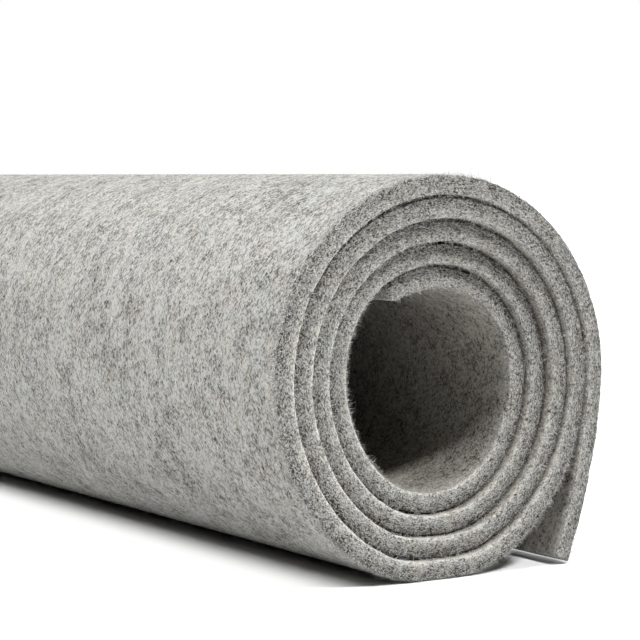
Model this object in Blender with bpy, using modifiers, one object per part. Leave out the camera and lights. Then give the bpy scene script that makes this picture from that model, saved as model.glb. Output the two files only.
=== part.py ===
"""A cut length of thick grey wool felt, rolled up and lying on its side.

Metres, +Z up. The roll's axis runs along Y, and its end with the foremost turns faces -Y. Seen from
there the felt winds clockwise outward: it starts at a short relaxed tail inside the hole, makes a
little over four turns, then peels off on the right as a flap that hangs almost to the ground.
The origin is the middle of the box around the roll, on the ground.
"""

import math

import bmesh
import bpy

MM = 0.001

# The flat sheet
FELT_THICKNESS = 5.0 * MM
FELT_WIDTH = 500.0 * MM

# The winding. Turns are counted clockwise from straight up, and radii run to mid-thickness
FIRST_RADIUS = 25.7 * MM
LAYER_PITCH = 5.66 * MM
FIRST_TURN = 0.0
PEEL_TURN = 4.27
FACETS_PER_TURN = 44

# How the winding departs from an even spiral: oval, heavier below, and drifting with each turn
OVAL_HEIGHT = 1.1 * MM
BOTTOM_BULGE = 0.4 * MM
DRIFT_RIGHT = -0.25 * MM
DRIFT_UP = 0.1 * MM
MIDDLE_TURN = 2.2

# The tail's stiff tip pushes out the turn above it
TAIL_PUSH = 0.5 * MM
TAIL_PUSH_TURN = 0.88
TAIL_PUSH_SPREAD = 0.07

# The two ends of the sheet, which bend less than the turns do
TAIL_LENGTH = 14.0 * MM
TAIL_BEND_RADIUS = 32.0 * MM
FLAP_LENGTH = 41.2 * MM
FLAP_BEND_RADIUS = 165.0 * MM
END_FACETS = 5

# Where the roll's own weight presses its turns flat
AXIS_HEIGHT = 48.3 * MM
PRESSED_PITCH = 5.32 * MM
LAYERS_AT_BOTTOM = 4

# How far the cut edge at the -Y end lies back from the foremost turn
EDGE_SET_BACK = (
    # turn, set back in mm
    (0.0, 6.4),
    (1.0, 5.0),
    (2.0, 2.4),
    (3.0, 0.6),
    (3.5, 0.0),
    (4.0, 1.6),
    (4.15, 2.0),
    (4.3, 1.4),
)
ROWS_ALONG = 4

FELT_GREY = (0.42, 0.41, 0.39, 1.0)
FELT_ROUGHNESS = 0.95


def clear_scene():
    for obj in list(bpy.data.objects):
        bpy.data.objects.remove(obj, do_unlink=True)


def make_felt_material():
    material = bpy.data.materials.new("grey_wool_felt")
    material.use_nodes = True
    shader = material.node_tree.nodes["Principled BSDF"]
    shader.inputs["Base Color"].default_value = FELT_GREY
    shader.inputs["Roughness"].default_value = FELT_ROUGHNESS
    shader.inputs["Metallic"].default_value = 0.0
    material.diffuse_color = FELT_GREY
    return material


def wound_point(turn):
    """Mid-thickness point (x, z) of the wound felt at a turn."""
    angle = 2 * math.pi * turn
    radius = FIRST_RADIUS + LAYER_PITCH * turn
    radius += OVAL_HEIGHT * math.cos(2 * angle) - BOTTOM_BULGE * math.cos(3 * angle)
    radius += TAIL_PUSH * math.exp(-(((turn - TAIL_PUSH_TURN) / TAIL_PUSH_SPREAD) ** 2))
    x = radius * math.sin(angle) + DRIFT_RIGHT * (turn - MIDDLE_TURN)
    z = radius * math.cos(angle) + DRIFT_UP * (turn - MIDDLE_TURN) + AXIS_HEIGHT

    layers_below = LAYERS_AT_BOTTOM - 1 - math.floor(turn)
    pressed_height = FELT_THICKNESS / 2 + PRESSED_PITCH * layers_below
    return x, max(z, pressed_height)


def heading(turn):
    """Direction of the winding at a turn, in radians clockwise from +X."""
    step = 0.001
    x0, z0 = wound_point(turn - step)
    x1, z1 = wound_point(turn + step)
    return math.atan2(z0 - z1, x1 - x0)


def free_end(start, direction, length, bend_radius):
    """Points of a free end that leaves start and bends evenly, clockwise if the radius is positive."""
    x, z = start
    step = length / END_FACETS
    half_bend = step / bend_radius / 2
    points = []
    for _ in range(END_FACETS):
        direction += half_bend
        x += step * math.cos(direction)
        z -= step * math.sin(direction)
        direction += half_bend
        points.append((x, z))
    return points


def set_back(turn):
    """Set-back of the -Y cut edge at a turn, read between the rows of the table."""
    for (turn_a, back_a), (turn_b, back_b) in zip(EDGE_SET_BACK, EDGE_SET_BACK[1:]):
        if turn <= turn_b:
            share = (turn - turn_a) / (turn_b - turn_a)
            return (back_a + (back_b - back_a) * share) * MM
    return EDGE_SET_BACK[-1][1] * MM


def section_stations():
    """(x, z, turn) along the sheet, from the tail's tip in the hole to the flap's lower edge."""
    first = round(FIRST_TURN * FACETS_PER_TURN)
    last = round(PEEL_TURN * FACETS_PER_TURN)
    turns = [index / FACETS_PER_TURN for index in range(first, last + 1)]
    wound = [(*wound_point(turn), turn) for turn in turns]

    start, end = turns[0], turns[-1]
    tail = free_end(wound_point(start), heading(start) + math.pi, TAIL_LENGTH, -TAIL_BEND_RADIUS)
    flap = free_end(wound_point(end), heading(end), FLAP_LENGTH, FLAP_BEND_RADIUS)
    tail = [(x, z, start) for x, z in reversed(tail)]
    flap = [(x, z, end) for x, z in flap]
    return tail + wound + flap


def build_roll(collection, material):
    """Rolls up a flat grid, a column for each station and rows across its width, and thickens it."""
    stations = section_stations()
    across = [x for x, _, _ in stations]
    middle_x = (min(across) + max(across)) / 2
    middle_y = max(back for _, back in EDGE_SET_BACK) * MM / 2

    sheet = bmesh.new()
    columns = len(stations) - 1
    bmesh.ops.create_grid(sheet, x_segments=columns, y_segments=ROWS_ALONG, size=0.5)
    for vert in sheet.verts:
        x, z, turn = stations[round((vert.co.x + 0.5) * columns)]
        y = vert.co.y * FELT_WIDTH + set_back(turn)
        vert.co = (x - middle_x, y - middle_y, z)

    mesh = bpy.data.meshes.new("felt_roll")
    sheet.to_mesh(mesh)
    sheet.free()
    mesh.materials.append(material)
    mesh.shade_smooth()

    roll = bpy.data.objects.new("felt_roll", mesh)
    collection.objects.link(roll)
    thicken = roll.modifiers.new("felt thickness", "SOLIDIFY")
    thicken.thickness = FELT_THICKNESS
    thicken.offset = 0.0
    thicken.use_even_offset = True


def main():
    clear_scene()
    collection = bpy.data.collections.new("roll_of_felt")
    bpy.context.scene.collection.children.link(collection)
    build_roll(collection, make_felt_material())


main()
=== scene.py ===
"""The looks of a rolled-up length of thick grey wool felt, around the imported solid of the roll.

Metres, +Z up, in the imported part's frame: the roll's axis runs along Y and the end in view faces -Y.
The felt is modelled flat, as a slab with soft edges, and every point of it is then rolled up:
s runs along the sheet from the tail in the hole to the flap, y across it, and t through its thickness.
"""

import math

import bmesh
import bpy
import numpy as np
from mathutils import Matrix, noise


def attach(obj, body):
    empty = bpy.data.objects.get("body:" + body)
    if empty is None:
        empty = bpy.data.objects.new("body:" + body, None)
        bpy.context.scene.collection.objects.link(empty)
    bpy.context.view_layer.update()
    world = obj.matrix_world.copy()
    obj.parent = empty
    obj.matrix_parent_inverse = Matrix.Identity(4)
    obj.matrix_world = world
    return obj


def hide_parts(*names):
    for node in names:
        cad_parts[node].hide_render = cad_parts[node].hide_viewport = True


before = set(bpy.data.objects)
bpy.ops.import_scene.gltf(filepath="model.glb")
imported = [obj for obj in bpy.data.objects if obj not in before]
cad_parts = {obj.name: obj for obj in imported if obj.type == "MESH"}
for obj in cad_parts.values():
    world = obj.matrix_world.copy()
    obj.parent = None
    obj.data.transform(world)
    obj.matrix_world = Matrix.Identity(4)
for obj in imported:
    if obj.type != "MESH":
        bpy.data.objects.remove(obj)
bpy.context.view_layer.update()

MM = 0.001

# The flat sheet
FELT_THICKNESS = 5.0 * MM
FELT_WIDTH = 500.0 * MM
# The nap stands proud of each face, and the cut edges are rounded, more on the roll's inner side
NAP = 0.13 * MM
INNER_ROUNDING = 2.2 * MM
OUTER_ROUNDING = 1.4 * MM
ROUNDING_SEGMENTS = 5
SHARP_EDGE = math.radians(60)
# The inner corners are roundest at this share of a turn, and this much as deep where sharpest
ROUNDEST_AT = 0.40
SHARPEST = 0.30
# The cut leans back from the inner to the outer side by this slope
CUT_LEAN = 0.13
# The outer corners that the next turn presses on are this much as deep as the free ones
PRESSED_CORNER = 0.4
# The flap's inner corner is this much as deep as the turns'
FLAP_CORNER = 0.4
# The inner corners are painted palest at this share of a turn, partly for pale loose wool and partly as a
# painted highlight
CORNER_HIGHLIGHT_AT = 0.62
# How far the faces dip and the cut edges wander, and over what distances
FACE_DIP = 0.16 * MM
FACE_DIP_SIZE = 9.0 * MM
EDGE_WANDER = 0.35 * MM
EDGE_WANDER_SIZE = 6.0 * MM
FINE_WANDER = 0.4 * EDGE_WANDER
FINE_WANDER_SIZE = EDGE_WANDER_SIZE / 3
# How deep the ragged notches in the cut's corners are, and how far apart
RAGGED = 0.26 * MM
RAGGED_SIZE = 1.7 * MM
# Where each of these starts in the noise, so that none follows another
DIP_START = 3.7
RAGGED_START = 8.1
WANDER_START = 11.3
FINE_WANDER_START = 5.1

# The winding. Turns are counted clockwise from straight up, and radii run to mid-thickness
FIRST_RADIUS = 25.7 * MM
LAYER_PITCH = 5.66 * MM
PEEL_TURN = 4.27

# How the winding departs from an even spiral: oval, heavier below, and drifting with each turn
OVAL_HEIGHT = 1.1 * MM
BOTTOM_BULGE = 0.4 * MM
DRIFT_RIGHT = -0.25 * MM
DRIFT_UP = 0.1 * MM
MIDDLE_TURN = 2.2

# The tail's stiff tip pushes out the turn above it
TAIL_PUSH = 0.5 * MM
TAIL_PUSH_TURN = 0.88
TAIL_PUSH_SPREAD = 0.07

# The two ends of the sheet, which bend less than the turns do
TAIL_LENGTH = 14.0 * MM
TAIL_BEND_RADIUS = 32.0 * MM
FLAP_LENGTH = 42.5 * MM
FLAP_BEND_RADIUS = 165.0 * MM

# Where the roll's own weight presses its turns flat
AXIS_HEIGHT = 48.3 * MM
PRESSED_PITCH = 5.32 * MM
LAYERS_AT_BOTTOM = 4

# How far the cut edge at the -Y end lies back from the foremost turn
EDGE_SET_BACK = (
    # turn, set back in mm
    (0.0, 6.4),
    (1.0, 5.0),
    (1.75, 3.6),
    (2.0, 2.8),
    (2.75, 1.8),
    (3.0, 0.8),
    (3.3, 1.8),
    (3.5, 0.0),
    (4.0, 0.8),
    (4.15, 1.2),
    (4.3, 1.0),
)

# Stretches over which something sets in or ends
# Turns over which the next turn begins to cover the inner face, and stops covering the outer one
INNER_COVER = (1.0, 1.05)
OUTER_COVER_END = (PEEL_TURN - 0.93, PEEL_TURN - 0.85)
# Lengths from the flap's end over which its inner face comes to lie against the roll
FLAP_COVER = (FLAP_LENGTH / 2, FLAP_LENGTH / 2 + 14 * MM)
# Turns over which the inner corner sharpens towards the flap
FLAP_SHARPENS = (PEEL_TURN - 0.3, PEEL_TURN - 0.1)
# Shares of a corner's rounding over which the cut's look ends, and a covered face's painted shade sets in
CUT_LOOK = (0.0, 0.6667)
INNER_COVER_SHADE = (0.4545, 0.9091)
OUTER_COVER_SHADE = (0.0, 0.4167)
# Shares of the thickness over which an inner corner turns pale, partly for loose wool and partly as a painted
# highlight
CORNER_HIGHLIGHT_DEPTH = (0.25, 0.5)
# Lengths from the cut over which it wanders, leans and is notched
WORN_LENGTH = (0.0, 3 * INNER_ROUNDING)

# The mesh
COLUMNS = 1350
ROWS = 24
ROWS_NEAR_ENDS = 0.8
POINTS_PER_TURN = 600
LINE_STEP = 0.3 * MM
SOFTENING_REACH = 25
FLOOR_HEIGHT = -0.15 * MM

# The fuzz. Lengths of the sheet that show outside the roll and in its hole, from each end
OUTER_FACE_LENGTH = 350.0 * MM
HOLE_FACE_LENGTH = 175.0 * MM
END_MARGIN = 1 * MM
RIM_FIBRES = 17000
HOLE_RIM_FIBRES = 5000
OUTER_RIM_FIBRES = 4500
OUTER_FACE_FIBRES = 19000
HOLE_FACE_FIBRES = 6000
STRAY_FIBRES = 60
FUZZ_SEED = 5
# Least and greatest radius of the fibres, in mm, and the two shape numbers of their spread of greys
RIM_FIBRE_RADIUS = (0.035, 0.075)
FACE_FIBRE_RADIUS = (0.03, 0.06)
STRAY_FIBRE_RADIUS = (0.035, 0.06)
FIBRE_TONES = (2.4, 1.3)
# A fibre's radius by its tip, as a share of the radius at its root
FIBRE_TIP = 0.45
# Spread of the lengths, as shares of the mean for the rim and in mm for the others, and of the faces' lift:
# shape, scale, least and most
RIM_LENGTHS = (2.6, 1 / 2.6, 0.3, 3.0)
FACE_LENGTHS = (4.0, 0.42, 0.5, 5.0)
STRAY_LENGTHS = (9.0, 0.32, 1.2, 6.0)
FACE_LIFTS = (1.6, 0.09, 0.04, 0.5)
# The rim's fibres: rounding their roots follow, scatter, lean outward, bend, and length between the corners
RIM_ROOTS = 0.9
RIM_SCATTER = 0.6
RIM_OUTWARD = (0.5, 1.2)
RIM_BEND = 0.4
RIM_MIDDLE = 0.6
# The faces' fibres: how deep their roots sit, sideways bend, and how much of the lift bends back down
FACE_ROOT_DEPTH = 0.05 * MM
FACE_BEND = 0.3
FACE_DROOP = (0.4, 0.95)
# The strays: clear of the tail's and the flap's end, root in front of the cut, slant, and rise and bend back
STRAY_FROM_TAIL = 5 * MM
STRAY_FROM_FLAP = 8 * MM
STRAY_ROOT = -0.02 * MM
STRAY_ROOT_SHARES = (0.3, 1.0)
STRAY_SLANT = math.radians(35)
STRAY_RISE = -0.12
STRAY_BEND = (0.3, 0.10, 0.4)

# The camera, and the height that the photo's eye had over the floor
CAMERA_LENS = 123.75
CAMERA_SENSOR = 36.0
CAMERA_YAW = math.radians(32.36)
CAMERA_PITCH = math.radians(3.745)
CAMERA_BESIDE_AXIS = 315.2 * MM
CAMERA_BEFORE_FACE = 439.2 * MM
CAMERA_HEIGHT = 99.6 * MM


def fade(value, stretch):
    """0 before the stretch, 1 after it, and evenly rising in between."""
    return np.interp(value, stretch, (0.0, 1.0))


def wound_point(turn):
    """Mid-thickness point (x, z) of the wound felt at each turn, over the section's own axis."""
    angle = 2 * np.pi * turn
    radius = FIRST_RADIUS + LAYER_PITCH * turn
    radius = radius + OVAL_HEIGHT * np.cos(2 * angle) - BOTTOM_BULGE * np.cos(3 * angle)
    radius = radius + TAIL_PUSH * np.exp(-(((turn - TAIL_PUSH_TURN) / TAIL_PUSH_SPREAD) ** 2))
    x = radius * np.sin(angle) + DRIFT_RIGHT * (turn - MIDDLE_TURN)
    z = radius * np.cos(angle) + DRIFT_UP * (turn - MIDDLE_TURN) + AXIS_HEIGHT
    pressed_height = FELT_THICKNESS / 2 + PRESSED_PITCH * (LAYERS_AT_BOTTOM - 1 - np.floor(turn))
    return x, np.maximum(z, pressed_height)


def free_end(x, z, direction, length, bend_radius):
    """Points of a free end that leaves (x, z) and bends evenly, clockwise if the radius is positive."""
    run = np.arange(1, round(length / LINE_STEP) + 1) * LINE_STEP
    turned = direction + run / bend_radius
    return (
        x + bend_radius * (np.sin(turned) - math.sin(direction)),
        z + bend_radius * (np.cos(turned) - math.cos(direction)),
    )


class Winding:
    """The rolled sheet's mid-thickness line, and what every point of the flat sheet becomes."""

    def __init__(self):
        turns = np.linspace(0.0, PEEL_TURN, round(PEEL_TURN * POINTS_PER_TURN) + 1)
        x, z = wound_point(turns)
        start = math.atan2(z[0] - z[1], x[1] - x[0])
        end = math.atan2(z[-2] - z[-1], x[-1] - x[-2])
        tail_x, tail_z = free_end(x[0], z[0], start + math.pi, TAIL_LENGTH, -TAIL_BEND_RADIUS)
        flap_x, flap_z = free_end(x[-1], z[-1], end, FLAP_LENGTH, FLAP_BEND_RADIUS)
        x = np.concatenate([tail_x[::-1], x, flap_x])
        z = np.concatenate([tail_z[::-1], z, flap_z])
        turns = np.concatenate([np.zeros(len(tail_x)), turns, np.full(len(flap_x), PEEL_TURN)])

        run = np.concatenate([[0.0], np.cumsum(np.hypot(np.diff(x), np.diff(z)))])
        self.length = run[-1]
        self.run = np.linspace(0.0, self.length, round(self.length / LINE_STEP) + 1)
        self.middle_x = (x.min() + x.max()) / 2
        self.x = self.soften(np.interp(self.run, run, x)) - self.middle_x
        self.z = self.soften(np.interp(self.run, run, z))
        self.turn = np.interp(self.run, run, turns)
        along_x, along_z = np.gradient(self.x), np.gradient(self.z)
        size = np.hypot(along_x, along_z)
        self.out_x, self.out_z = -along_z / size, along_x / size

    @staticmethod
    def soften(line):
        """Rounds off the ends of the flat spots, over about 15 mm, and keeps the even curves' size."""
        width = 2 * SOFTENING_REACH + 1

        def running_mean(values):
            padded = np.pad(values, SOFTENING_REACH, mode="reflect", reflect_type="odd")
            return np.convolve(padded, np.ones(width) / width, mode="valid")

        once = running_mean(line)
        return 2 * once - running_mean(once)

    def at(self, s, values):
        return np.interp(s, self.run, values)

    def covered(self, s, t):
        """1 where a face lies against the next turn, 0 where it is free."""
        turn = self.at(s, self.turn)
        inside = fade(turn, INNER_COVER) * fade(self.length - s, FLAP_COVER)
        outside = 1 - fade(turn, OUTER_COVER_END)
        return np.where(t < 0, inside, outside)

    def corner_depth(self, s, t):
        """How deep the rounding of a cut edge's corner is, as a share of the full rounding."""
        turn = self.at(s, self.turn)
        around = 2 * np.pi * (turn - ROUNDEST_AT)
        inner = SHARPEST + (1 - SHARPEST) * (0.5 + 0.5 * np.cos(around))
        inner *= 1 - (1 - FLAP_CORNER) * fade(turn, FLAP_SHARPENS)
        outer = 1 - (1 - PRESSED_CORNER) * self.covered(s, t)
        return np.where(t < 0, inner, outer)

    def set_back(self, s):
        turn, back = zip(*EDGE_SET_BACK)
        return np.interp(self.at(s, self.turn), turn, back) * MM

    def roll_up(self, flat):
        """World points of flat points (s, y, t), with y from 0 at the end in view."""
        s, y, t = flat.T
        middle_y = max(back for _, back in EDGE_SET_BACK) * MM / 2 + FELT_WIDTH / 2
        x = self.at(s, self.x) + t * self.at(s, self.out_x)
        z = self.at(s, self.z) + t * self.at(s, self.out_z)
        return np.stack([x, y + self.set_back(s) - middle_y, z], axis=1)


def linked(name, data):
    """A new object of the data, in the scene."""
    obj = bpy.data.objects.new(name, data)
    bpy.context.scene.collection.objects.link(obj)
    return obj


def applied(obj):
    """A new mesh of the object with its modifiers applied."""
    return bpy.data.meshes.new_from_object(obj.evaluated_get(bpy.context.evaluated_depsgraph_get()))


def flat_slab(winding):
    """The flat sheet as a mesh in flat coordinates, its cut edges rounded more on the inner face."""
    grid = bmesh.new()
    bmesh.ops.create_grid(grid, x_segments=COLUMNS, y_segments=ROWS, size=0.5)
    for vert in grid.verts:
        across = vert.co.y + 0.5
        across -= ROWS_NEAR_ENDS * math.sin(2 * math.pi * across) / (2 * math.pi)
        vert.co.x = (vert.co.x + 0.5) * winding.length
        vert.co.y = across * FELT_WIDTH
    mesh = bpy.data.meshes.new("felt_flat")
    grid.to_mesh(mesh)
    grid.free()

    obj = linked("felt_flat", mesh)
    thicken = obj.modifiers.new("thickness", "SOLIDIFY")
    thicken.thickness = FELT_THICKNESS + 2 * NAP
    thicken.offset = 0.0
    obj.data = applied(obj)
    obj.modifiers.clear()

    slab = bmesh.new()
    slab.from_mesh(obj.data)
    weight = slab.edges.layers.float.new("bevel_weight_edge")
    for edge in slab.edges:
        if edge.calc_face_angle(0.0) > SHARP_EDGE:
            first, second = edge.verts[0].co.z, edge.verts[1].co.z
            if first * second > 0:
                edge[weight] = 1.0 if first < 0 else OUTER_ROUNDING / INNER_ROUNDING
    slab.to_mesh(obj.data)
    slab.free()
    soften = obj.modifiers.new("soft edges", "BEVEL")
    soften.width = INNER_ROUNDING
    soften.segments = ROUNDING_SEGMENTS
    soften.limit_method = "WEIGHT"
    done = applied(obj)
    bpy.data.objects.remove(obj, do_unlink=True)
    return done


def points_of(mesh):
    points = np.empty(len(mesh.vertices) * 3, np.float32)
    mesh.vertices.foreach_get("co", points)
    return points.reshape(-1, 3).astype(float)


def uneven(points, size, start):
    """Smooth seeded noise at each point, about -1 to 1."""
    places = points / size + start
    return np.array([noise.noise(place) for place in places.tolist()])


def build_sheet(winding, material):
    mesh = flat_slab(winding)
    mesh.name = "felt_sheet"
    flat = points_of(mesh)
    s, y, t = flat.T
    near_half = y < FELT_WIDTH / 2
    from_cut = np.minimum(y, FELT_WIDTH - y)
    from_edge = np.minimum.reduce([s, winding.length - s, from_cut])
    rounding = np.where(t < 0, INNER_ROUNDING, OUTER_ROUNDING)

    # What the material reads: the cut's look, the paler inner corners (partly pale loose wool, partly a
    # painted highlight), and the painted shade where a face lies against the next turn
    cut = 1 - fade(from_edge / rounding, CUT_LOOK)
    corner = 1 - fade(from_edge / rounding, (0.0, 1.0))
    corner *= fade(-t / FELT_THICKNESS, CORNER_HIGHLIGHT_DEPTH)
    # The corners' painted highlight is strongest at one share of each turn
    corner *= 0.5 + 0.5 * np.cos(2 * np.pi * (winding.at(s, winding.turn) - CORNER_HIGHLIGHT_AT))
    past_corner = from_cut / rounding
    inner_contact_shade, outer_contact_shade = fade(past_corner, INNER_COVER_SHADE), fade(past_corner, OUTER_COVER_SHADE)
    covered = winding.covered(s, t) * np.where(t < 0, inner_contact_shade, outer_contact_shade)
    mesh.attributes.new("flat", "FLOAT_VECTOR", "POINT").data.foreach_set("vector", flat.ravel())
    for name, values in (("cut", cut), ("corner", corner), ("covered", covered)):
        mesh.attributes.new(name, "FLOAT", "POINT").data.foreach_set("value", values)

    # The corners' own depths, the dips in the faces, and the worn cut
    shaped = flat.copy()
    from_cut = np.where(from_cut < rounding, from_cut * winding.corner_depth(s, t), from_cut)
    shaped[:, 1] = np.where(near_half, from_cut, FELT_WIDTH - from_cut)
    worn = 1 - fade(from_edge, WORN_LENGTH)
    dip = FACE_DIP * (0.5 + 0.5 * uneven(flat, FACE_DIP_SIZE, DIP_START))
    shaped[:, 2] -= np.sign(t) * np.minimum(dip, np.abs(t))
    notch = worn * RAGGED * (0.5 + 0.5 * uneven(flat, RAGGED_SIZE, RAGGED_START))
    shaped[:, 2] -= np.sign(t) * np.minimum(notch, np.abs(t))
    section = flat * (1, 0, 1)
    wander = EDGE_WANDER * uneven(section, EDGE_WANDER_SIZE, WANDER_START)
    wander += FINE_WANDER * uneven(section, FINE_WANDER_SIZE, FINE_WANDER_START)
    back = worn * (wander + CUT_LEAN * t)
    shaped[:, 1] += back * np.where(near_half, 1, -1)

    mesh.vertices.foreach_set("co", winding.roll_up(shaped).ravel())
    mesh.update()
    mesh.shade_smooth()
    mesh.materials.clear()
    mesh.materials.append(material)
    return linked("felt_sheet", mesh)


class Nodes:
    """Short forms for building a material's node tree."""

    def __init__(self, material):
        self.tree = material.node_tree

    def add(self, kind, **settings):
        node = self.tree.nodes.new(kind)
        for name, value in settings.items():
            setattr(node, name, value)
        return node

    def join(self, source, target):
        self.tree.links.new(source, target)

    def feed(self, socket, value):
        if isinstance(value, bpy.types.NodeSocket):
            self.join(value, socket)
        else:
            socket.default_value = value

    def attribute(self, name, output="Fac"):
        return self.add("ShaderNodeAttribute", attribute_name=name).outputs[output]

    def math(self, operation, *values):
        node = self.add("ShaderNodeMath", operation=operation)
        for socket, value in zip(node.inputs, values):
            self.feed(socket, value)
        return node.outputs[0]

    def total(self, start, *weighted):
        """The start plus each value times its weight."""
        for value, weight in weighted:
            start = self.math("MULTIPLY_ADD", value, weight, start)
        return start

    def span(self, value, low, high, new_low=0.0, new_high=1.0):
        """Maps low to high onto the new span, held at its ends."""
        node = self.add("ShaderNodeMapRange")
        for socket, number in zip(node.inputs, (value, low, high, new_low, new_high)):
            self.feed(socket, number)
        return node.outputs[0]

    def mix(self, share, a, b):
        node = self.add("ShaderNodeMix", data_type="FLOAT")
        self.feed(node.inputs[0], share)
        self.feed(node.inputs[2], a)
        self.feed(node.inputs[3], b)
        return node.outputs[0]

    def mix_colour(self, share, a, b, blend="MIX"):
        node = self.add("ShaderNodeMix", data_type="RGBA", blend_type=blend)
        self.feed(node.inputs[0], share)
        self.feed(node.inputs[6], a)
        self.feed(node.inputs[7], b)
        return node.outputs[2]

    def noise(self, place, size, start, detail=2.0, angle=0.0, axis="Z_AXIS"):
        """Noise from about 0 to 1, with features of that size (three lengths in mm), turned about an axis."""
        turned = self.add("ShaderNodeVectorRotate", rotation_type=axis)
        self.join(place, turned.inputs["Vector"])
        turned.inputs["Angle"].default_value = angle
        scaled = self.add("ShaderNodeMapping")
        self.join(turned.outputs[0], scaled.inputs["Vector"])
        scaled.inputs["Scale"].default_value = [1 / (length * MM) for length in size]
        scaled.inputs["Location"].default_value = (start, start, start)
        texture = self.add("ShaderNodeTexNoise")
        self.join(scaled.outputs[0], texture.inputs["Vector"])
        texture.inputs["Scale"].default_value = 1.0
        texture.inputs["Detail"].default_value = detail
        texture.inputs["Roughness"].default_value = NOISE_ROUGHNESS
        return texture.outputs["Fac"]

    def layer(self, place, size, start, detail, low, high):
        """Noise with low to high spread over 0 to 1."""
        return self.span(self.noise(place, size, start, detail), low, high)

    def strokes(self, place, size, angles, axis, spacing, low, high):
        """Short strokes in several directions about an axis, with low to high spread over 0 to 1."""
        total = 0.0
        for index, degrees in enumerate(angles):
            layer = self.noise(place, size, spacing * index, angle=math.radians(degrees), axis=axis)
            total = self.math("ADD", total, layer)
        return self.span(total, low * len(angles), high * len(angles))


NOISE_ROUGHNESS = 0.55

# Strokes of fibre: three sizes in mm, directions, axis, spacing in the noise, and the values for 0 and 1
FACE_STROKES = ((1.15, 0.40, 0.40), (-62, -22, 15, 58), "Z_AXIS", 7.0, 0.442, 0.532)
CUT_STROKES = ((0.95, 0.5, 0.34), (-38, 4, 34), "Y_AXIS", 5.0, 0.44, 0.56)

# Layers of noise: three sizes in mm, where it starts, its detail, and the values that become 0 and 1
BLOTCHES = ((4.0, 3.4, 4.0), 31.0, 4.0, 0.34, 0.66)
CLOUDS = ((24.0, 18.0, 20.0), 13.0, 2.0, 0.3, 0.7)
SPECKS = ((0.9, 0.6, 0.6), 51.0, 1.0, 0.44, 0.32)
GRAIN = ((0.52, 0.44, 0.36), 3.0, 2.0, 0.36, 0.64)
DAPPLE = ((1.9, 1.6, 1.3), 63.0, 2.0, 0.34, 0.66)
WARMTH = ((5.0, 4.0, 4.0), 171.0, 3.0, 0.38, 0.62)
RED_FLECKS = ((1.1, 0.8, 0.8), 91.0, 0.0, 0.80, 0.86)
YELLOW_FLECKS = ((1.1, 0.8, 0.8), 137.0, 0.0, 0.80, 0.86)

# How much each layer adds to the tone, which runs from 0 for the dark felt to 1 for the light
FACE_TONE = 0.08
FACE_FIBRES = 0.66
FACE_BLOTCHES = 0.30
FACE_CLOUDS = 0.21
CUT_TONE = -0.38
CUT_GRAIN = 1.12
CUT_BLOTCHES = 0.26
CUT_DAPPLE = 0.34
# The cut is painted paler on its inner side and darker on its outer side by this much, as painted light and
# shade across each turn
CUT_SHADE_ACROSS = 0.15
SPECK_TONE = -0.47
# The inner corners' tone is painted paler, partly for loose wool and partly as a painted highlight
CORNER_HIGHLIGHT_TONE = 0.12
# How much brighter an inner corner is painted, partly for pale loose wool and partly as a painted highlight
CORNER_HIGHLIGHT_GAIN = 1.8
# How much of the cut's grain is strokes, and of the specks is left where the blotches are light
STROKES_IN_GRAIN = 0.55
SPECKS_IN_LIGHT = 0.35
FLECK_STRENGTH = 0.7
# How strongly a face is painted dark where it lies against the next turn, as painted shade
COVERED_SHADE_STRENGTH = 0.9
# Shares of half the thickness over which the inner face's painted shade, darker and browner, sets in
INNER_FACE_SHADE_SPAN = (-0.6, -0.9)
CUT_RELIEF = 1.5
BUMP_STRENGTH = 0.6
BUMP_HEIGHT = 0.12 * MM

FIBRE_LIGHT = (0.78, 0.78, 0.75, 1.0)
FIBRE_DARK = (0.16, 0.15, 0.14, 1.0)
FELT_LIGHT = (0.338, 0.337, 0.320, 1.0)
FELT_DARK = (0.022, 0.019, 0.015, 1.0)
COOL_TINT = (0.985, 1.0, 1.01, 1.0)
WARM_TINT = (1.02, 1.0, 0.975, 1.0)
# The inner face's painted shade, darker and browner
INNER_FACE_SHADE_TINT = (0.93, 0.89, 0.84, 1.0)
# The painted shade where a face lies against the next turn
COVERED_SHADE = (0.045, 0.028, 0.017, 1.0)
RED_FLECK = (0.26, 0.10, 0.06, 1.0)
YELLOW_FLECK = (0.40, 0.32, 0.13, 1.0)
SHEEN_TINT = (0.95, 0.94, 0.92, 1.0)
FLOOR_WHITE = (0.82, 0.82, 0.82, 1.0)
WHITE = (1.0, 1.0, 1.0, 1.0)


def new_material(name, **inputs):
    """A new material and its shader, with these of the shader's inputs set."""
    material = bpy.data.materials.new(name)
    material.use_nodes = True
    shader = material.node_tree.nodes["Principled BSDF"]
    for key, value in inputs.items():
        shader.inputs[key.replace("_", " ")].default_value = value
    return material, shader


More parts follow.
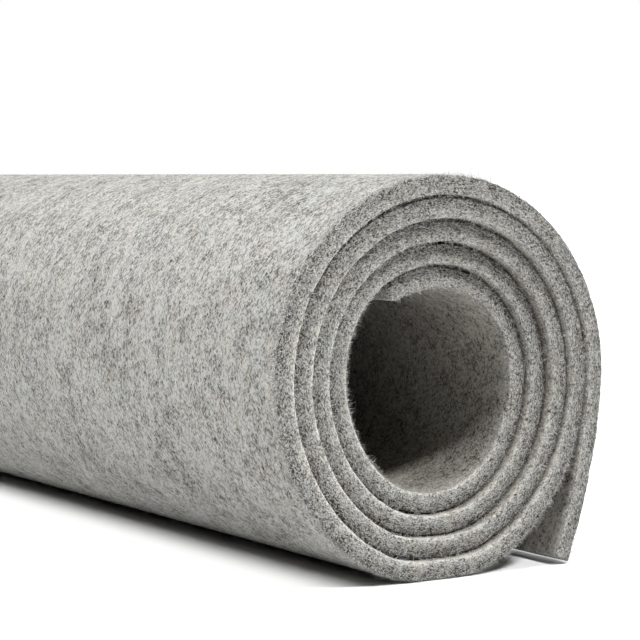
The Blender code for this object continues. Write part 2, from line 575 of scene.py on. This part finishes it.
def felt_material():
    """Marled wool felt: short strokes of light and dark fibres, dark specks and a few coloured flecks."""
    material, shader = new_material(
        "grey_wool_felt",
        Roughness=1.0,
        Specular_IOR_Level=0.1,
        Sheen_Weight=0.06,
        Sheen_Roughness=0.6,
        Sheen_Tint=SHEEN_TINT,
    )
    nodes = Nodes(material)
    flat = nodes.attribute("flat", "Vector")
    cut = nodes.attribute("cut")
    corner = nodes.attribute("corner")
    covered = nodes.attribute("covered")
    place = nodes.add("ShaderNodeSeparateXYZ")
    nodes.join(flat, place.inputs[0])
    thickness = place.outputs["Z"]
    half = FELT_THICKNESS / 2

    fibres = nodes.strokes(flat, *FACE_STROKES)
    blotches = nodes.layer(flat, *BLOTCHES)
    clouds = nodes.layer(flat, *CLOUDS)
    specks_left = nodes.span(blotches, 0.0, 1.0, 1.0, SPECKS_IN_LIGHT)
    specks = nodes.math("MULTIPLY", nodes.layer(flat, *SPECKS), specks_left)
    grain = nodes.mix(STROKES_IN_GRAIN, nodes.layer(flat, *GRAIN), nodes.strokes(flat, *CUT_STROKES))
    dapple = nodes.layer(flat, *DAPPLE)
    # Painted light and shade across the cut: paler towards the inner side, darker towards the outer side
    cut_shade_across = nodes.span(thickness, -half, half, CUT_SHADE_ACROSS, -CUT_SHADE_ACROSS)

    face_tone = nodes.total(FACE_TONE, (fibres, FACE_FIBRES), (blotches, FACE_BLOTCHES))
    face_tone = nodes.total(face_tone, (clouds, FACE_CLOUDS))
    cut_tone = nodes.total(CUT_TONE, (grain, CUT_GRAIN), (blotches, CUT_BLOTCHES), (dapple, CUT_DAPPLE))
    cut_tone = nodes.math("ADD", cut_tone, cut_shade_across)
    tone = nodes.mix(cut, face_tone, cut_tone)
    # Dark specks, and inner corners painted paler, partly for pale loose wool and partly as a painted
    # highlight
    tone = nodes.total(tone, (specks, SPECK_TONE), (corner, CORNER_HIGHLIGHT_TONE))

    colour = nodes.mix_colour(tone, FELT_DARK, FELT_LIGHT)
    # Inner corners painted brighter, partly for pale loose wool and partly as a painted highlight
    corner_highlight_gain = nodes.span(corner, 0.0, 1.0, 1.0, CORNER_HIGHLIGHT_GAIN)
    colour = nodes.mix_colour(1.0, colour, corner_highlight_gain, blend="MULTIPLY")
    tint = nodes.mix_colour(nodes.layer(flat, *WARMTH), COOL_TINT, WARM_TINT)
    colour = nodes.mix_colour(1.0, colour, tint, blend="MULTIPLY")
    # Painted shade on the inner face, darker and browner, away from the cut
    inner_face_shade = nodes.span(thickness, INNER_FACE_SHADE_SPAN[0] * half, INNER_FACE_SHADE_SPAN[1] * half)
    inner_face_shade = nodes.math("MULTIPLY", inner_face_shade, nodes.span(cut, 0.0, 1.0, 1.0, 0.0))
    colour = nodes.mix_colour(inner_face_shade, colour, INNER_FACE_SHADE_TINT, blend="MULTIPLY")
    for fleck_colour, flecks in ((RED_FLECK, RED_FLECKS), (YELLOW_FLECK, YELLOW_FLECKS)):
        mask = nodes.math("MULTIPLY", nodes.layer(flat, *flecks), FLECK_STRENGTH)
        colour = nodes.mix_colour(mask, colour, fleck_colour)
    # Painted shade where a face lies against the next turn
    contact_shade = nodes.math("MULTIPLY", covered, COVERED_SHADE_STRENGTH)
    colour = nodes.mix_colour(contact_shade, colour, COVERED_SHADE)
    nodes.join(colour, shader.inputs["Base Color"])

    face_height = nodes.math("SUBTRACT", fibres, specks)
    height = nodes.mix(cut, face_height, nodes.math("MULTIPLY", grain, CUT_RELIEF))
    bump = nodes.add("ShaderNodeBump")
    bump.inputs["Strength"].default_value = BUMP_STRENGTH
    bump.inputs["Distance"].default_value = BUMP_HEIGHT
    nodes.join(height, bump.inputs["Height"])
    nodes.join(bump.outputs[0], shader.inputs["Normal"])
    return material


def fibre_material():
    """Single loose wool fibres, each with its own grey."""
    material, shader = new_material("loose_wool_fibre", Roughness=0.7, Specular_IOR_Level=0.2)
    nodes = Nodes(material)
    colour = nodes.mix_colour(nodes.attribute("tone"), FIBRE_DARK, FIBRE_LIGHT)
    nodes.join(colour, shader.inputs["Base Color"])
    return material


def fibre_faces(rings):
    """Triangles of one three-sided fibre: its root, its sides from ring to ring, and its tip."""
    faces = [(0, 2, 1)]
    for low in range(0, 3 * (rings - 1), 3):
        high = low + 3
        for a in range(3):
            b = (a + 1) % 3
            faces += [(low + a, low + b, high + b), (low + a, high + b, high + a)]
    last, tip = 3 * (rings - 1), 3 * rings
    faces += [(last + a, last + (a + 1) % 3, tip) for a in range(3)]
    return np.array(faces)


def fibre_mesh(name, paths, radius, tones, material):
    """Joins thin three-sided tapering fibres into one mesh. paths holds each fibre's points."""
    count, stops, _ = paths.shape
    paths[..., 2] = np.maximum(paths[..., 2], FLOOR_HEIGHT + radius[:, None])
    along = np.gradient(paths, axis=1)
    along /= np.linalg.norm(along, axis=2, keepdims=True) + 1e-12
    side = np.cross(along, (0.31, 0.87, 0.38))
    side /= np.linalg.norm(side, axis=2, keepdims=True) + 1e-12
    other = np.cross(along, side)

    rings = stops - 1
    corners = np.arange(3) * 2 * np.pi / 3
    taper = np.linspace(1.0, FIBRE_TIP, rings)
    size = radius[:, None, None, None] * taper[None, :, None, None]
    ring = paths[:, :rings, None] + size * (
        side[:, :rings, None] * np.cos(corners)[None, None, :, None]
        + other[:, :rings, None] * np.sin(corners)[None, None, :, None]
    )
    points = np.concatenate([ring.reshape(count, rings * 3, 3), paths[:, -1:]], axis=1)
    per_fibre = points.shape[1]
    index = fibre_faces(rings)[None] + (np.arange(count) * per_fibre)[:, None, None]

    mesh = bpy.data.meshes.new(name)
    mesh.from_pydata(points.reshape(-1, 3).tolist(), [], index.reshape(-1, 3).tolist())
    tone = mesh.attributes.new("tone", "FLOAT", "POINT")
    tone.data.foreach_set("value", np.repeat(tones, per_fibre))
    mesh.shade_smooth()
    mesh.materials.append(material)
    return linked(name, mesh)


def spread(random, count, shape, scale, least, most):
    """Gamma-distributed draws, held between the least and the most."""
    return random.gamma(shape, scale, count).clip(least, most)


def curved_fibres(winding, name, root, lean, bend, length, radii, material, random, stops=3):
    """Fibres that leave flat points root towards lean, and bend away by bend."""
    radius = random.uniform(*radii, len(root)) * MM
    share = np.linspace(0.0, 1.0, stops)[None, :, None]
    flat = root[:, None] + length[:, None, None] * (lean[:, None] * share + bend[:, None] * share**2)
    paths = winding.roll_up(flat.reshape(-1, 3)).reshape(len(root), stops, 3)
    return fibre_mesh(name, paths, radius, random.beta(*FIBRE_TONES, len(root)), material)


def rim_fuzz(winding, name, count, stretch, corners, inner_share, mean_length, at_far_end, material, random):
    """Short fibres that stick out of the cut edge at one end of the roll, most of them at its corners."""
    half = FELT_THICKNESS / 2 + NAP
    corner = random.random(count) < corners
    side = np.where(random.random(count) < inner_share, -1.0, 1.0)
    rounding = np.where(side < 0, INNER_ROUNDING, OUTER_ROUNDING) * RIM_ROOTS
    round_angle = random.uniform(0.0, np.pi / 2, count) * corner
    s = random.uniform(*stretch, count)
    depth = rounding * (1 - np.cos(round_angle)) * winding.corner_depth(s, side)
    t_corner = side * (half - rounding + rounding * np.sin(round_angle))
    t_middle = random.uniform(INNER_ROUNDING - half, half - OUTER_ROUNDING, count)
    t = np.where(corner, t_corner, t_middle)
    root = np.stack([s, depth + CUT_LEAN * t, t], axis=1)

    outward = np.stack([np.zeros(count), -np.cos(round_angle), side * np.sin(round_angle)], axis=1)
    lean = random.normal(0.0, RIM_SCATTER, (count, 3))
    lean += outward * random.uniform(*RIM_OUTWARD, (count, 1))
    lean /= np.linalg.norm(lean, axis=1, keepdims=True)
    bend = random.normal(0.0, RIM_BEND, (count, 3))
    length = mean_length * spread(random, count, *RIM_LENGTHS) * MM
    length = np.where(corner, length, length * RIM_MIDDLE)
    if at_far_end:
        root[:, 1] = FELT_WIDTH - root[:, 1]
        lean[:, 1] *= -1
    return curved_fibres(winding, name, root, lean, bend, length, RIM_FIBRE_RADIUS, material, random)


def face_fuzz(winding, name, count, side, stretch, across, material, random):
    """Longer fibres that lie on a face of the sheet at all angles, and arch a little off it."""
    s = random.uniform(*stretch, count)
    y = random.uniform(*across, count)
    t = np.full(count, side * (FELT_THICKNESS / 2 + NAP - FACE_ROOT_DEPTH))
    root = np.stack([s, y, t], axis=1)
    turn = random.uniform(0.0, 2 * np.pi, count)
    lift = spread(random, count, *FACE_LIFTS)
    lean = np.stack([np.cos(turn), np.sin(turn), side * lift], axis=1)
    bend = np.stack([
        random.normal(0.0, FACE_BEND, count),
        random.normal(0.0, FACE_BEND, count),
        -side * lift * random.uniform(*FACE_DROOP, count),
    ], axis=1)
    length = spread(random, count, *FACE_LENGTHS) * MM
    return curved_fibres(winding, name, root, lean, bend, length, FACE_FIBRE_RADIUS, material, random)


def stray_fibres(winding, name, count, at_far_end, material, random):
    """Long single fibres that cross the cut edge of one layer, a little proud of it."""
    half = FELT_THICKNESS / 2
    s = random.uniform(STRAY_FROM_TAIL, winding.length - STRAY_FROM_FLAP, count)
    turn = random.normal(0.0, STRAY_SLANT, count)
    way = np.where(random.random(count) < 0.5, -1.0, 1.0)
    lean = np.stack([way * np.cos(turn), np.full(count, STRAY_RISE), way * np.sin(turn)], axis=1)
    t = -np.sign(lean[:, 2]) * half * random.uniform(*STRAY_ROOT_SHARES, count)
    root = np.stack([s, np.full(count, STRAY_ROOT), t], axis=1)
    bend = np.stack([
        random.normal(0.0, STRAY_BEND[0], count),
        np.full(count, STRAY_BEND[1]),
        random.normal(0.0, STRAY_BEND[2], count),
    ], axis=1)
    length = spread(random, count, *STRAY_LENGTHS) * MM
    if at_far_end:
        root[:, 1] = FELT_WIDTH - root[:, 1]
        lean[:, 1] *= -1
        bend[:, 1] *= -1
    return curved_fibres(
        winding, name, root, lean, bend, length, STRAY_FIBRE_RADIUS, material, random, stops=6
    )


def build_floor():
    mesh = bpy.data.meshes.new("studio_floor")
    floor = bmesh.new()
    bmesh.ops.create_grid(floor, x_segments=1, y_segments=1, size=30.0)
    floor.to_mesh(mesh)
    floor.free()
    material, shader = new_material("white_studio_floor", Roughness=0.9, Specular_IOR_Level=0.0)
    shader.inputs["Base Color"].default_value = FLOOR_WHITE
    mesh.materials.append(material)
    obj = linked("studio_floor", mesh)
    obj.location.z = FLOOR_HEIGHT


SOFTBOXES = (
    # name, degrees from overhead, degrees round from the front (-Y) towards +X, width in degrees, energy
    ("left_softbox", 31, 270, 30, 3.95),
    ("front_softbox", 33, 20, 12, 3.4),
    ("back_softbox", 20, 180, 30, 1.1),
    ("right_fill", 75, 90, 30, 2.2),
)
WORLD_LIGHT = 0.01


def build_lights():
    """Soft distant lights, and a white world that is seen by the camera but gives little light."""
    for name, tilt, side, width, energy in SOFTBOXES:
        sun = bpy.data.lights.new(name, "SUN")
        sun.energy = energy
        sun.angle = math.radians(width)
        lamp = linked(name, sun)
        lamp.rotation_euler = (math.radians(tilt), 0.0, math.radians(side))

    world = bpy.data.worlds.new("studio")
    bpy.context.scene.world = world
    world.use_nodes = True
    world.node_tree.nodes.clear()
    nodes = Nodes(world)
    output = nodes.add("ShaderNodeOutputWorld")
    shown = nodes.add("ShaderNodeBackground")
    shown.inputs["Color"].default_value = WHITE
    lighting = nodes.add("ShaderNodeBackground")
    lighting.inputs["Color"].default_value = WHITE
    lighting.inputs["Strength"].default_value = WORLD_LIGHT
    path = nodes.add("ShaderNodeLightPath")
    mix = nodes.add("ShaderNodeMixShader")
    nodes.join(path.outputs["Is Camera Ray"], mix.inputs[0])
    nodes.join(lighting.outputs[0], mix.inputs[1])
    nodes.join(shown.outputs[0], mix.inputs[2])
    nodes.join(mix.outputs[0], output.inputs[0])


def build_camera(winding):
    data = bpy.data.cameras.new("camera")
    data.lens = CAMERA_LENS
    data.sensor_width = CAMERA_SENSOR
    data.clip_start = 0.01
    data.clip_end = 100.0
    data.dof.use_dof = False
    camera = linked("camera", data)
    face_y = -FELT_WIDTH / 2 - max(back for _, back in EDGE_SET_BACK) * MM / 2
    camera.location = (
        -CAMERA_BESIDE_AXIS - winding.middle_x,
        face_y - CAMERA_BEFORE_FACE,
        CAMERA_HEIGHT,
    )
    camera.rotation_euler = (math.pi / 2 - CAMERA_PITCH, 0.0, -CAMERA_YAW)
    bpy.context.scene.camera = camera
    bpy.context.scene.view_settings.view_transform = "Standard"


winding = Winding()
build_camera(winding)
build_lights()
build_floor()

felt = build_sheet(winding, felt_material())
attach(felt, "root")
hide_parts("felt_roll")

random = np.random.default_rng(FUZZ_SEED)
wool = fibre_material()
length = winding.length
whole_length = (END_MARGIN, length - END_MARGIN)
whole_width = (END_MARGIN, FELT_WIDTH - END_MARGIN)
outer_face = (length - OUTER_FACE_LENGTH, length - END_MARGIN)
hole_face = (END_MARGIN, HOLE_FACE_LENGTH)
rims = (
    # name, fibres, stretch, share at the corners, share of those at inner ones, mean length in mm, far end
    ("rim_fuzz_near", RIM_FIBRES, whole_length, 0.75, 0.6, 0.72, False),
    ("rim_fuzz_hole", HOLE_RIM_FIBRES, hole_face, 1.0, 1.0, 0.55, False),
    ("rim_fuzz_outer", OUTER_RIM_FIBRES, outer_face, 1.0, 0.0, 0.8, False),
    ("rim_fuzz_far", RIM_FIBRES, whole_length, 0.75, 0.6, 0.72, True),
)
fuzz = [rim_fuzz(winding, *rim, wool, random) for rim in rims]
fuzz += [
    face_fuzz(winding, "outer_fuzz", OUTER_FACE_FIBRES, 1, outer_face, whole_width, wool, random),
    face_fuzz(winding, "hole_fuzz", HOLE_FACE_FIBRES, -1, hole_face, whole_width, wool, random),
    stray_fibres(winding, "stray_fibres_near", STRAY_FIBRES, False, wool, random),
    stray_fibres(winding, "stray_fibres_far", STRAY_FIBRES, True, wool, random),
]
for piece in fuzz:
    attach(piece, "root")
